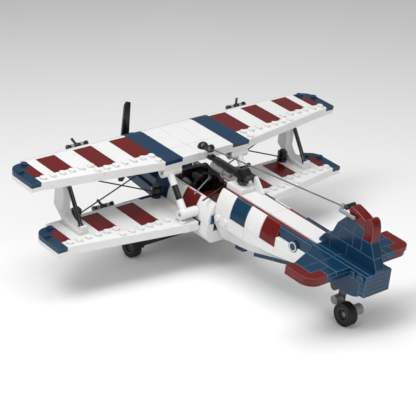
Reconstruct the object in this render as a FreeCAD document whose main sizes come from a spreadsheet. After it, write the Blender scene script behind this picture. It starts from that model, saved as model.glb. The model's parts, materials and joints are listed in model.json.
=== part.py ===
import FreeCAD, Part
import math
import os
import Sketcher

# A biplane display model made of studded building bricks, in millimetres.
# It is laid out in its own level frame: X to port, Y aft, Z up, with X = 0 on the centre line, Y = 0 at the
# front edge of the upper wing's tiles and Z = 0 at their tops. The finished nodes are then set on their three
# wheels, nose up, with the origin under the middle of the model.

document = FreeCAD.newDocument("Biplane")
sheet = document.addObject("Spreadsheet::Sheet", "Sizes")

SIZES = [
    ("stud_pitch", 8.0, "distance between studs"),
    ("plate_height", 3.2, "height of one plate; a brick is three"),
    ("stud_radius", 2.4, "radius of a stud"),
    ("stud_height", 1.7, "height of a stud"),
    ("brick_wall", 1.5, "side wall of a hollow brick"),
    ("stud_headroom", 0.4, "air over a stud inside a hollow brick"),
    ("side_gap", 0.1, "each brick stops this far inside its grid cell"),
    ("stud_clearance", 0.05, "air between a stud and the tube beside it"),
    ("bar_radius", 1.6, "radius of the round bars"),
    ("fit_clearance", 0.05, "running fit, on the radius"),
    ("part_gap", 0.3, "air between pieces that move past each other"),
    ("wing_stagger", 24.0, "how far the lower wing sits aft of the upper"),
    ("wing_drop_plates", 13.0, "lower wing top below upper wing top, in plates"),
    ("deck_drop_plates", 4.0, "rear deck below the upper wing top, in plates"),
    ("panel_height_plates", 5.0, "height of the curved side panels, in plates"),
    ("panel_edge", 1.2, "thickness of a curved panel at its thin edge"),
    ("stripe_width", 2.2, "side plates between the spine and the curved panels"),
    ("stripe_drop", 0.8, "side plates stop this far below the deck"),
    ("tail_shift", 3.2, "tail pieces sit this far off the grid"),
    ("belly_half_width", 8.0, "half width of the flat belly"),
    ("belly_depth_front", 25.6, "belly below the panels at the front of the rear body"),
    ("belly_depth_middle", 21.4, "the same a third of the way aft"),
    ("belly_depth_rear", 2.7, "the same at the tail"),
    ("bilge_drop", 9.6, "straight side below the curved panels"),
    ("bilge_drop_rear", 1.9, "the same at the tail"),
    ("tail_half_width", 13.4, "half width of the rear body where it meets the tail"),
    ("nose_length", 48.0, "cowl ahead of the upper wing's front edge"),
    ("cowl_taper", 4.4, "how much each cowl side narrows to the front"),
    ("wheel_radius", 8.4, "all three tyres"),
    ("wheel_width", 6.4, "all three tyres"),
    ("wheel_track", 86.0, "between the middles of the main wheels"),
    ("main_axle_y", 21.0, "main axle, aft of the datum"),
    ("main_axle_drop", 81.6, "main axle below the datum"),
    ("tail_axle_studs", 26.0, "tail axle, aft of the datum, in studs"),
    ("tail_axle_drop", 53.0, "tail axle below the datum"),
    ("shaft_drop_plates", 11.0, "propeller shaft below the datum, in plates"),
    ("connector_radius", 3.8, "round ends of the struts between body and upper wing"),
    ("blade_reach", 35.0, "propeller radius"),
    ("blade_width", 7.4, "blade at its root"),
    ("blade_tip_width", 5.6, "blade at its tip"),
    ("blade_thickness", 1.8, "blade"),
    ("wire_radius", 0.5, "bracing wires"),
    ("strut_depth", 9.6, "interplane strut, fore and aft"),
    ("fin_slope_run", 8.0, "how far the fin's rear post leans"),
]


class Size:
    """A number and the sheet expression that gives it."""

    def __init__(self, value, text):
        self.value = float(value)
        self.text = text

    def __add__(self, other):
        other = as_size(other)
        return Size(self.value + other.value, "(" + self.text + " + " + other.text + ")")

    def __sub__(self, other):
        other = as_size(other)
        return Size(self.value - other.value, "(" + self.text + " - " + other.text + ")")

    def __mul__(self, other):
        other = as_size(other)
        return Size(self.value * other.value, "(" + self.text + " * " + other.text + ")")

    def __truediv__(self, other):
        other = as_size(other)
        return Size(self.value / other.value, "(" + self.text + " / " + other.text + ")")

    def __neg__(self):
        return Size(-self.value, "(0 - " + self.text + ")")


def as_size(item):
    """Let a plain number stand in sums of sizes."""
    if isinstance(item, Size):
        return item
    return Size(item, format(float(item), ".6f"))


def root(size):
    """Square root of a size."""
    return Size(math.sqrt(size.value), "sqrt(" + size.text + ")")


def fill_sheet():
    """Write the driving sizes and hand them back by name."""
    named = {}
    for row, (alias, value, note) in enumerate(SIZES, start=1):
        cell = "B" + str(row)
        sheet.set("A" + str(row), note)
        sheet.set(cell, str(value))
        sheet.setAlias(cell, alias)
        named[alias] = Size(value, "Sizes." + alias)
    document.recompute()
    return named


named = fill_sheet()
pitch = named["stud_pitch"]
plate = named["plate_height"]
gap = named["side_gap"]
wall = named["brick_wall"]
stud_radius = named["stud_radius"]
stud_height = named["stud_height"]
roof = plate - stud_height - named["stud_headroom"]
bar_radius = named["bar_radius"]
fit = named["fit_clearance"]
part_gap = named["part_gap"]
zero = as_size(0)
tube_radius = pitch / 1.41421356 - stud_radius - named["stud_clearance"]
pin_radius = pitch / 2 - stud_radius - named["stud_clearance"]

PORT = 1
STARBOARD = -1
BOTH_SIDES = (PORT, STARBOARD)
WAYS = {
    "X": FreeCAD.Vector(1, 0, 0),
    "Y": FreeCAD.Vector(0, 1, 0),
    "Z": FreeCAD.Vector(0, 0, 1),
}
nodes = {}


def studs(count):
    return pitch * count


def plates(count):
    return plate * count


# ---- small builders: every size they are given ends up bound to the sheet ----

def move(item, x, y, z):
    """Bind a place to the sheet."""
    for letter, amount in zip("xyz", (x, y, z)):
        amount = as_size(amount)
        item.setExpression("Placement.Base." + letter, amount.text)
    return item


def turn(item, way, degrees):
    """Turn an item about its own origin."""
    place = item.Placement
    place.Rotation = FreeCAD.Rotation(WAYS[way], degrees)
    item.Placement = place
    return item


def box(name, x, y, z, long_x, long_y, long_z):
    item = document.addObject("Part::Box", name)
    item.setExpression("Length", as_size(long_x).text)
    item.setExpression("Width", as_size(long_y).text)
    item.setExpression("Height", as_size(long_z).text)
    return move(item, x, y, z)


def span_box(name, x, y, z):
    """A box from three (low, high) pairs."""
    lows = [as_size(pair[0]) for pair in (x, y, z)]
    highs = [as_size(pair[1]) for pair in (x, y, z)]
    return box(name, *lows, *[high - low for low, high in zip(lows, highs)])


def rod(name, way, x, y, z, radius, length):
    """A cylinder that starts at a point and runs along one axis."""
    item = document.addObject("Part::Cylinder", name)
    item.setExpression("Radius", as_size(radius).text)
    item.setExpression("Height", as_size(length).text)
    item.Placement = FreeCAD.Placement(FreeCAD.Vector(), FreeCAD.Rotation(WAYS["Z"], WAYS[way]))
    return move(item, x, y, z)


def rod_between(name, start, end, radius):
    """A cylinder between two points whose coordinates are sizes."""
    item = document.addObject("Part::Cylinder", name)
    first = FreeCAD.Vector(*[as_size(amount).value for amount in start])
    last = FreeCAD.Vector(*[as_size(amount).value for amount in end])
    rise = [as_size(high) - as_size(low) for low, high in zip(start, end)]
    length = root(rise[0] * rise[0] + rise[1] * rise[1] + rise[2] * rise[2])
    item.setExpression("Radius", as_size(radius).text)
    item.setExpression("Height", length.text)
    item.Placement = FreeCAD.Placement(first, FreeCAD.Rotation(WAYS["Z"], last - first))
    return move(item, *start)


def ball(name, x, y, z, radius):
    item = document.addObject("Part::Sphere", name)
    item.setExpression("Radius", as_size(radius).text)
    return move(item, x, y, z)


def ring(name, way, x, y, z, radius, thick):
    """A torus about one axis."""
    item = document.addObject("Part::Torus", name)
    item.setExpression("Radius1", as_size(radius).text)
    item.setExpression("Radius2", as_size(thick).text)
    item.Placement = FreeCAD.Placement(FreeCAD.Vector(), FreeCAD.Rotation(WAYS["Z"], WAYS[way]))
    return move(item, x, y, z)


def fuse(name, items):
    item = document.addObject("Part::MultiFuse", name)
    item.Shapes = items
    return item


def common(name, items):
    item = document.addObject("Part::MultiCommon", name)
    item.Shapes = items
    return item


def cut(name, base, tools):
    """Take one or more tools away from a base."""
    item = document.addObject("Part::Cut", name)
    item.Base = base
    item.Tool = tools[0] if len(tools) == 1 else fuse(name + "_tools", tools)
    return item


def origin_item(body, role):
    return [item for item in body.Origin.OriginFeatures if item.Role == role][0]


def new_sketch(body, name, role, height):
    """A sketch on one of the body's own planes, moved along its normal."""
    sketch = body.newObject("Sketcher::SketchObject", name)
    sketch.AttachmentSupport = [(origin_item(body, role), "")]
    sketch.MapMode = "FlatFace"
    height = as_size(height)
    sketch.setExpression("AttachmentOffset.Base.z", height.text)
    return sketch


def fix_point(sketch, line, end, point):
    """Hold one end of a sketch line at a place given by two sizes."""
    for kind, letter, amount in (("DistanceX", "x", point[0]), ("DistanceY", "y", point[1])):
        label = "p" + str(line) + "_" + str(end) + letter
        number = sketch.addConstraint(Sketcher.Constraint(kind, -1, 1, line, end, amount.value))
        sketch.renameConstraint(number, label)
        sketch.setExpression("Constraints." + label, amount.text)


def draw_outline(sketch, points):
    """A closed outline of straight lines through points given as sizes."""
    points = [(as_size(x), as_size(y)) for x, y in points]
    corners = [FreeCAD.Vector(x.value, y.value, 0) for x, y in points]
    first = sketch.GeometryCount
    count = len(points)
    for index in range(count):
        sketch.addGeometry(Part.LineSegment(corners[index], corners[(index + 1) % count]))
    for index in range(count):
        following = first + (index + 1) % count
        sketch.addConstraint(Sketcher.Constraint("Coincident", first + index, 2, following, 1))
        fix_point(sketch, first + index, 1, points[index])


def draw_circle(sketch, x, y, radius):
    x, y, radius = as_size(x), as_size(y), as_size(radius)
    centre = FreeCAD.Vector(x.value, y.value, 0)
    circle = sketch.addGeometry(Part.Circle(centre, FreeCAD.Vector(0, 0, 1), radius.value))
    fix_point(sketch, circle, 3, (x, y))
    number = sketch.addConstraint(Sketcher.Constraint("Radius", circle, radius.value))
    label = "r" + str(circle)
    sketch.renameConstraint(number, label)
    sketch.setExpression("Constraints." + label, radius.text)


def new_body(name):
    return document.addObject("PartDesign::Body", name)


def pad(body, sketch, length):
    feature = body.newObject("PartDesign::Pad", sketch.Name + "_pad")
    feature.Profile = sketch
    feature.Refine = False
    feature.setExpression("Length", as_size(length).text)
    return feature


def pocket_up(body, sketch, depth):
    """A pocket that goes up into the body from a sketch on its underside."""
    feature = body.newObject("PartDesign::Pocket", sketch.Name + "_pocket")
    feature.Profile = sketch
    feature.Reversed = True
    feature.Refine = False
    feature.setExpression("Length", as_size(depth).text)
    return feature


def grid(body, feature, across, along):
    """Repeat a feature on the stud grid."""
    if across * along == 1:
        return
    pattern = body.newObject("PartDesign::LinearPattern", feature.Name + "_grid")
    pattern.Originals = [feature]
    pattern.Refine = False
    lines = (("", "X_Axis", across), ("2", "Y_Axis", along))
    for suffix, axis, count in lines:
        setattr(pattern, "Direction" + suffix, (origin_item(body, axis), [""]))
        setattr(pattern, "Occurrences" + suffix, count)
        pattern.setExpression("Length" + suffix, studs(max(count - 1, 1)).text)
    body.Tip = pattern


def add_studs(body, name, rows, top):
    """Studs on top: rows of (column, row, count across, count along)."""
    for index, (column, row, across, along) in enumerate(rows):
        sketch = new_sketch(body, name + "_stud" + str(index), "XY_Plane", top)
        draw_circle(sketch, studs(column + 0.5), studs(row + 0.5), stud_radius)
        grid(body, pad(body, sketch, stud_height), across, along)


def add_tubes(body, name, across, along, depth):
    """The tubes, or pins in a piece one stud wide, that grip the studs below."""
    if across * along == 1:
        return
    sketch = new_sketch(body, name + "_tube", "XY_Plane", zero)
    if across > 1 and along > 1:
        draw_circle(sketch, pitch, pitch, tube_radius)
        draw_circle(sketch, pitch, pitch, stud_radius)
        grid(body, pad(body, sketch, depth), across - 1, along - 1)
        return
    half = pitch / 2
    centre = (half, pitch) if across == 1 else (pitch, half)
    draw_circle(sketch, centre[0], centre[1], pin_radius)
    grid(body, pad(body, sketch, depth), max(across - 1, 1), max(along - 1, 1))


def brick(name, across, along, high, stud_rows=None):
    """A hollow brick on the grid, its near corner at the origin."""
    body = new_body(name)
    height = plates(high)
    outline = new_sketch(body, name + "_outline", "XY_Plane", zero)
    draw_outline(outline, rectangle(gap, studs(across) - gap, gap, studs(along) - gap))
    pad(body, outline, height)
    inner = gap + wall
    hollow = new_sketch(body, name + "_hollow", "XY_Plane", zero)
    draw_outline(hollow, rectangle(inner, studs(across) - inner, inner, studs(along) - inner))
    pocket_up(body, hollow, height - roof)
    add_tubes(body, name, across, along, height - roof)
    if stud_rows is None:
        stud_rows = [(0, 0, across, along)]
    add_studs(body, name, stud_rows, height)
    return body


def tile(name, across, along, high=1):
    """A brick with a smooth top."""
    return brick(name, across, along, high, [])


def rectangle(x0, x1, y0, y1):
    return [(x0, y0), (x1, y0), (x1, y1), (x0, y1)]


def profile(name, role, points, start, end):
    """A straight-sided piece: an outline on one origin plane, from start to end along the third axis."""
    body = new_body(name)
    start, end = as_size(start), as_size(end)
    height = -end if role == "XZ_Plane" else start
    sketch = new_sketch(body, name + "_outline", role, height)
    draw_outline(sketch, points)
    pad(body, sketch, end - start)
    return body


def copy(source, name, x, y, z, turned=0, way="Z"):
    """A placed copy of a master piece."""
    link = document.addObject("App::Link", name)
    link.LinkedObject = source
    turn(link, way, turned)
    return move(link, x, y, z)


def node(name, items):
    """Gather pieces as one named sub-part."""
    group = document.addObject("Part::Compound", name)
    group.Label = name
    group.Links = items
    nodes[name] = group
    return group


# ---- masters that are used many times ----

TILES = {}


def shared_tile(across, along, high=1):
    """One master for each tile size."""
    key = (across, along, high)
    if key not in TILES:
        TILES[key] = tile("tile_" + "x".join(str(count) for count in key), *key)
    return TILES[key]


def lay_tile(group, x, y, top, across, along, high=1):
    """Put a tile with its near corner on a grid cell and its top at a level."""
    name = "laid_tile_" + str(len(TILES)) + "_" + str(len(group))
    group.append(copy(shared_tile(across, along, high), name, x, y, top - plates(high)))


def make_curved_panel():
    """A curved slope that stands on its side: flat back, thin top edge, full thickness at its foot."""
    length = studs(2)
    tall = plates(1) * named["panel_height_plates"]
    thick = plates(2)
    edge = named["panel_edge"]
    rise = thick - edge
    radius = (tall * tall + rise * rise) / (rise * 2)
    block = box("panel_block", zero, gap, zero, thick, length - gap * 2, tall)
    curve = rod("panel_curve", "Y", thick - radius, zero, zero, radius, length)
    return common("panel_master", [block, curve])


# ---- wings ----

def wing_edge(x, tip, chord_tip):
    """Trailing edge of a wing at a place along its span."""
    root_x = tip - studs(14)
    knee_x = tip - studs(1)
    slope_run = knee_x - root_x - pitch
    return chord_tip + studs(2) * (knee_x - x) / slope_run


def wedge_outline(first, last, front, tip, chord_tip, inset):
    """Outline of a wing piece between two places on the span, with the swept trailing edge."""
    low = first + inset
    high = last - inset
    return [
        (low, front + inset),
        (high, front + inset),
        (high, wing_edge(high, tip, chord_tip) - inset),
        (low, wing_edge(low, tip, chord_tip) - inset),
    ]


def wing_plate(name, outline, hollow, side, bottom, stud_rows):
    """A plate with its own outline, on one side of the model, hollow below and studded in rows."""
    body = new_body(name)
    for index, (points, lift, inward) in enumerate(((outline, plate, False), (hollow, plate - roof, True))):
        sketch = new_sketch(body, name + "_line" + str(index), "XY_Plane", zero)
        draw_outline(sketch, [(x * side, y) for x, y in points])
        if inward:
            pocket_up(body, sketch, lift)
        else:
            pad(body, sketch, lift)
    for index, (x, y, across, along) in enumerate(stud_rows):
        sketch = new_sketch(body, name + "_stud" + str(index), "XY_Plane", plate)
        near = x if side == PORT else -(x + studs(across) - pitch)
        draw_circle(sketch, near, y, stud_radius)
        grid(body, pad(body, sketch, stud_height), across, along)
    return move(body, zero, zero, bottom)


def make_tip_corner(name, side):
    """The L-shaped corner plate of a wing tip, its outer corner rounded, two studs on its ends."""
    body = new_body(name)
    sketch = new_sketch(body, name + "_line", "XY_Plane", zero)
    points = [
        (gap, gap),
        (studs(2) - gap, gap),
        (studs(2) - gap, studs(2) - gap),
        (pitch + gap, studs(2) - gap),
        (pitch + gap, pitch - gap),
        (gap, pitch - gap),
    ]
    draw_outline(sketch, [(x * side, y) for x, y in points])
    block = pad(body, sketch, plate)
    document.recompute()
    corner = FreeCAD.Vector((studs(2) - gap).value * side, gap.value, 0)
    round_edges(body, block, studs(1.25), lambda edge: upright_at(edge, corner))
    for index, (column, row) in enumerate(((0.5, 0.5), (1.5, 1.5))):
        stud = new_sketch(body, name + "_stud" + str(index), "XY_Plane", plate)
        draw_circle(stud, studs(column) * side, studs(row), stud_radius)
        pad(body, stud, stud_height)
    return body


def make_tip_base(name, side, tip, front, chord_tip, bottom):
    """The base plate under a wing tip, two studs wide, its front corner rounded, studded under the tiles."""
    body = new_body(name)
    sketch = new_sketch(body, name + "_line", "XY_Plane", zero)
    near = tip - studs(2) + gap
    far = tip - gap
    points = [
        (near, front + gap),
        (far, front + gap),
        (far, chord_tip - gap),
        (tip - pitch, chord_tip - gap),
        (near, wing_edge(near, tip, chord_tip) - gap),
    ]
    draw_outline(sketch, [(x * side, y) for x, y in points])
    block = pad(body, sketch, plate)
    document.recompute()
    corner = FreeCAD.Vector(far.value * side, (front + gap).value, 0)
    round_edges(body, block, studs(1.25), lambda edge: upright_at(edge, corner))
    for index, (column, row) in enumerate(((1.5, 1.5), (1.5, 2.5), (1.5, 3.5), (0.5, 2.5), (0.5, 3.5))):
        stud = new_sketch(body, name + "_stud" + str(index), "XY_Plane", plate)
        draw_circle(stud, (tip - studs(column)) * side, front + studs(row), stud_radius)
        pad(body, stud, stud_height)
    return move(body, zero, zero, bottom)


def upright_at(edge, corner):
    """True for the vertical edge over a corner."""
    ends = [vertex.Point for vertex in edge.Vertexes]
    near = all(math.hypot(end.x - corner.x, end.y - corner.y) < gap.value / 2 for end in ends)
    return len(ends) == 2 and near


def round_edges(body, feature, radius, wanted):
    """Fillet the edges that a test picks out."""
    names = []
    for index, edge in enumerate(feature.Shape.Edges, start=1):
        if wanted(edge):
            names.append("Edge" + str(index))
    fillet = body.newObject("PartDesign::Fillet", feature.Name + "_round")
    fillet.Base = (feature, names)
    fillet.Refine = False
    fillet.setExpression("Radius", as_size(radius).text)
    return fillet


def make_nose_strip(name, count):
    """One rounded piece of a leading edge: a curved slope that falls forwards."""
    depth = pitch
    high = plates(2)
    rise = plate
    radius = (depth * depth + rise * rise) / (rise * 2)
    block = box(name + "_block", gap, gap, zero, studs(count) - gap * 2, depth - gap * 2, high)
    curve = rod(name + "_curve", "X", zero, depth, high - radius, radius, studs(count))
    return common(name, [block, curve])


def wing(name, tip_studs, front, top, columns, centre):
    """One whole wing: white base plates, flush tiles in stripes, wedge plates, tips and leading edge."""
    tip = studs(tip_studs)
    chord_tip = front + studs(4)
    middle = top - plates(1)
    bottom = top - plates(2)
    base, white, red, blue = [], [], [], []
    inboard = tip - studs(13)
    centre_half = inboard
    body = new_body(name + "_centre_base")
    line = new_sketch(body, name + "_centre_line", "XY_Plane", zero)
    limits = (gap - centre_half, centre_half - gap, front + gap, front + studs(6) - gap)
    draw_outline(line, rectangle(*limits))
    pad(body, line, plate)
    inner = new_sketch(body, name + "_centre_hollow", "XY_Plane", zero)
    limits = (limits[0] + wall, limits[1] - wall, limits[2] + wall, limits[3] - wall)
    draw_outline(inner, rectangle(*limits))
    pocket_up(body, inner, plate - roof)
    row = new_sketch(body, name + "_centre_stud", "XY_Plane", plate)
    draw_circle(row, pitch / 2 - centre_half, front + pitch / 2, stud_radius)
    grid(body, pad(body, row, stud_height), 2 * (tip_studs - 13), 6)
    base.append(move(body, zero, zero, bottom))
    for side in BOTH_SIDES:
        tag = name + ("_port" if side == PORT else "_starboard")
        for index, (low, high) in enumerate(((13, 6), (6, 2))):
            near, far = tip - studs(low), tip - studs(high)
            outline = wedge_outline(near, far, front, tip, chord_tip, gap)
            hollow = wedge_outline(near, far, front, tip, chord_tip, gap + wall)
            rows = [(near + pitch / 2, front + pitch / 2, low - high, 4)]
            base.append(wing_plate(tag + "_base" + str(index), outline, hollow, side, bottom, rows))
        base.append(make_tip_base(tag + "_tip_base", side, tip, front, chord_tip, bottom))
        corner = make_tip_corner(tag + "_corner_master", side)
        blue.append(copy(corner, tag + "_corner", (tip - studs(2)) * side, front, middle))
        for index, (low, high, row) in enumerate(((13, 7, 4), (7, 1, 3))):
            near, far = tip - studs(low), tip - studs(high)
            outline = wedge_outline(near, far, front + studs(row), tip, chord_tip, gap)
            hollow = wedge_outline(near, far, front + studs(row), tip, chord_tip, gap + wall)
            rows = [
                (near + pitch / 2, front + studs(row + 0.5), 6, 1),
                (near + pitch / 2, front + studs(row + 1.5), 1, 1),
            ]
            white.append(wing_plate(tag + "_wedge" + str(index), outline, hollow, side, middle, rows))
        for first, width, start, length, colour in columns:
            group = {"white": white, "red": red, "blue": blue}[colour]
            left = tip - studs(first + width)
            x = left if side == PORT else -(left + studs(width))
            lay_tile(group, x, front + studs(start), top, width, length)
    for x, width, start, length, colour in centre:
        group = {"white": white, "red": red, "blue": blue}[colour]
        lay_tile(group, studs(x), front + studs(start), top, width, length)
    return base, white, red, blue


UPPER_COLUMNS = [
    (0, 1, 2, 2, "blue"),
    (1, 1, 1, 2, "red"),
    (2, 1, 0, 3, "white"),
    (3, 2, 0, 3, "red"),
    (5, 2, 0, 3, "white"),
    (7, 2, 0, 4, "red"),
    (9, 2, 0, 4, "white"),
    (11, 2, 0, 4, "red"),
    (13, 2, 0, 6, "blue"),
]
UPPER_CENTRE = [
    (-3, 2, 0, 4, "white"),
    (-3, 2, 4, 2, "white"),
    (-1, 2, 0, 4, "white"),
    (-1, 2, 4, 2, "white"),
    (1, 2, 0, 4, "white"),
    (1, 2, 4, 2, "white"),
]
LOWER_COLUMNS = [
    (0, 1, 2, 2, "blue"),
    (1, 1, 1, 2, "red"),
    (2, 1, 0, 3, "white"),
    (3, 2, 0, 3, "white"),
    (5, 2, 0, 3, "red"),
    (7, 2, 0, 4, "white"),
    (9, 2, 0, 4, "red"),
    (11, 2, 0, 4, "white"),
    (13, 2, 0, 4, "white"),
    (13, 2, 4, 1, "white"),
    (13, 1, 5, 1, "white"),
    (14, 1, 5, 1, "blue"),
]


LOWER_TOP = -plates(1) * named["wing_drop_plates"]
STAGGER = named["wing_stagger"]
DECK = -plates(1) * named["deck_drop_plates"]
PANEL_HEIGHT = plates(1) * named["panel_height_plates"]
SILL = LOWER_TOP + PANEL_HEIGHT
SHAFT_DROP = plates(1) * named["shaft_drop_plates"]


EDGE_BLUE_PLACE = 3


def leading_edge(name, double, single, first, last, front, bottom):
    """Rounded pieces two studs long in front of a wing, from place to place on each side."""
    white, blue = [], []
    for side in BOTH_SIDES:
        for place in range(first, last, 2):
            count = min(2, last - place)
            x = studs(place) if side == PORT else -studs(place + count)
            source = double if count == 2 else single
            group = blue if place == EDGE_BLUE_PLACE else white
            group.append(copy(source, name + str(side * place), x, front - pitch, bottom))
    return white, blue


def make_wings():
    strip = make_nose_strip("nose_strip", 2)
    single = make_nose_strip("nose_strip_single", 1)
    upper = ("upper", 18, zero, zero, UPPER_COLUMNS, UPPER_CENTRE, 1)
    lower = ("lower", 17, STAGGER, LOWER_TOP, LOWER_COLUMNS, [], 3)
    for word, tip_studs, front, top, columns, centre, first in (upper, lower):
        name = word + "_wing"
        bottom = top - plates(2)
        base, white, red, blue = wing(name, tip_studs, front, top, columns, centre)
        edge_white, edge_blue = leading_edge(name + "_nose", strip, single, first, tip_studs - 2, front, bottom)
        if centre:
            edge_white.append(copy(strip, name + "_middle_nose", -pitch, front - pitch, bottom))
        node(name + "_base_plates", base)
        node(name + "_white_tiles", white)
        node(name + "_red_tiles", red)
        node(name + "_blue_tiles", blue + edge_blue)
        node(name + "_leading_edge", edge_white)


# ---- fuselage ----

PANEL_THICK = plates(2)
REAR_BACK = pitch + named["stripe_width"]
REAR_TOP = DECK - named["stripe_drop"]
REAR_FOOT = REAR_TOP - PANEL_HEIGHT
REAR_SIDE = REAR_BACK + PANEL_THICK
FRONT_BACK = studs(2)
FRONT_SIDE = FRONT_BACK + PANEL_THICK
SPINE_TOP = DECK - plate
BODY_FRONT = studs(2)
BODY_BACK = studs(10)
TAIL_AXLE = pitch * named["tail_axle_studs"]
TAIL_START = studs(22)
TAIL_END = studs(28) + named["tail_shift"]
WING_BOTTOM = LOWER_TOP - plates(2)
BELLY_BOTTOM = WING_BOTTOM - plates(3)


def make_side_panels(red_stripes, blue_stripes):
    """Curved panels down both sides, in coloured bands."""
    panel = make_curved_panel()
    groups = {"white": [], "red": red_stripes, "blue": blue_stripes}
    badges = []
    bands = (
        (2, "blue", FRONT_BACK, LOWER_TOP),
        (4, "white", FRONT_BACK, LOWER_TOP),
        (6, "red", FRONT_BACK, LOWER_TOP),
        (8, "white", FRONT_BACK, LOWER_TOP),
        (10, "white", REAR_BACK, REAR_FOOT),
        (12, "blue", REAR_BACK, REAR_FOOT),
        (14, "white", REAR_BACK, REAR_FOOT),
        (16, "red", REAR_BACK, REAR_FOOT),
    )
    for place, colour, back, foot in bands:
        label = "band" + str(place)
        groups[colour].append(copy(panel, label + "_port", back, studs(place), foot))
        groups[colour].append(copy(panel, label + "_starboard", -back, studs(place + 2), foot, 180))
    for side in BOTH_SIDES:
        x = side_pair(side, REAR_BACK, REAR_BACK + plate)
        y = (studs(18) + gap, studs(22) - gap)
        z = (REAR_TOP - pitch, REAR_TOP)
        groups["blue"].append(span_box("rear_side_tile" + str(side), x, y, z))
        wedge = [
            (REAR_BACK * side, studs(PANELS_END) + gap),
            (REAR_SIDE * side, studs(PANELS_END) + gap),
            (named["tail_half_width"] * side, TAIL_START - gap),
            (REAR_BACK * side, TAIL_START - gap),
        ]
        filler = profile("rear_side_wedge" + str(side), "XY_Plane", wedge, REAR_FOOT, REAR_TOP - pitch)
        near = REAR_BACK + plate
        start = near if side == PORT else -near - plate
        disc = rod("round_mark_room" + str(side), "X", start, studs(20), REAR_TOP - pitch, pitch / 2, plate)
        face = (REAR_SIDE + named["tail_half_width"]) / 2 + gap * 2
        low, high = side_pair(side, near, face)
        badge = rod("round_mark" + str(side), "X", low, studs(20), REAR_TOP - pitch, pitch / 2, high - low)
        groups["white"].append(cut("rear_side_filler" + str(side), filler, [disc]))
        badges.append(badge)
        end_x = side_pair(side, REAR_SIDE + gap, REAR_SIDE + plate + gap)
        end_y = (BODY_BACK, BODY_BACK + gap * 8)
        end_z = (LOWER_TOP + gap * 6, LOWER_TOP + plates(2.4))
        groups["blue"].append(span_box("panel_end" + str(side), end_x, end_y, end_z))
    for colour, items in groups.items():
        node("side_panels_" + colour, items)
    node("round_side_tiles", badges)


def side_pair(side, near, far):
    """Low and high X for a piece that sits between two distances from the centre line."""
    near, far = as_size(near), as_size(far)
    if side == PORT:
        return (near, far)
    return (-far, -near)


def make_spine():
    """The two-wide core of the rear body, its smooth top tiles, and the coloured plates on its sides."""
    long_brick = brick("spine_brick_long", 2, 6, 3)
    short_brick = brick("spine_brick_short", 2, 4, 3)
    core = []
    for index, (source, start, level) in enumerate((
            (long_brick, 10, 1), (long_brick, 16, 1), (short_brick, 10, 2), (short_brick, 14, 2))):
        z = SPINE_TOP - plates(3 * level) - gap / 2 * level
        core.append(copy(source, "core" + str(index), -pitch, studs(start), z))
    node("spine_core", core)
    tops = []
    lay_tile(tops, -pitch, studs(12), DECK, 2, 4)
    lay_tile(tops, -pitch, studs(16), DECK, 2, 6)
    slab = brick("gun_slab_plate", 2, 2, 1)
    tops.append(copy(slab, "gun_slab_lower", -pitch, studs(10), SPINE_TOP))
    lay_tile(tops, -pitch, studs(10), DECK + plate, 2, 2)
    ramp_y = studs(11.68)
    slab_end = studs(12)
    ramp = [
        (ramp_y, DECK + plate),
        (slab_end, DECK + plate),
        (slab_end, DECK),
        (studs(13) - gap, DECK),
        (studs(13) - gap, DECK + plate * 0.3),
        (ramp_y + wall, DECK + plates(3.2)),
        (ramp_y, DECK + plates(3.2)),
    ]
    tops.append(profile("gun_rear_slope", "YZ_Plane", ramp, gap - pitch, gap + plate * 0.8 - pitch))
    node("spine_tiles", tops)
    red, blue = [], []
    for side in BOTH_SIDES:
        x = side_pair(side, pitch, REAR_BACK)
        for group, first, last in ((red, 10, 14), (red, 14, 18), (red, 18, 21), (blue, 21, 22)):
            y = (studs(first) + gap, studs(last) - gap)
            group.append(span_box("stripe" + str(first) + "_" + str(side), x, y, (REAR_FOOT, REAR_TOP)))
    return red, blue


def loft(name, sections):
    """A straight-sided piece through outlines that stand across the body."""
    body = new_body(name)
    sketches = []
    for index, (y, points) in enumerate(sections):
        sketch = new_sketch(body, name + "_section" + str(index), "XZ_Plane", -as_size(y))
        draw_outline(sketch, points)
        sketches.append(sketch)
    feature = body.newObject("PartDesign::AdditiveLoft", name + "_loft")
    feature.Profile = sketches[0]
    feature.Sections = sketches[1:]
    feature.Ruled = True
    feature.Refine = False
    return body


def hull_section(place):
    """Outline of the lower rear body at a place along it, in studs."""
    front, middle, rear = HULL_STATIONS
    if place <= middle:
        share = (place - front) / (middle - front)
        belly = named["belly_depth_front"] * (1 - share) + named["belly_depth_middle"] * share
        bilge = named["bilge_drop"]
    else:
        share = (place - middle) / (rear - middle)
        belly = named["belly_depth_middle"] * (1 - share) + named["belly_depth_rear"] * share
        bilge = named["bilge_drop"] * (1 - share) + named["bilge_drop_rear"] * share
    taper = max(0, place - PANELS_END) / (rear - PANELS_END)
    side = REAR_SIDE * (1 - taper) + named["tail_half_width"] * taper
    flat = named["belly_half_width"]
    return [
        (-side, REAR_FOOT),
        (-side, REAR_FOOT - bilge),
        (-flat, REAR_FOOT - belly),
        (flat, REAR_FOOT - belly),
        (side, REAR_FOOT - bilge),
        (side, REAR_FOOT),
    ]


HULL_STATIONS = (10, 14, 22)
PANELS_END = 18


def keel_level(place):
    """Height of the flat belly at a place in studs."""
    return hull_section(place)[2][1]


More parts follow.
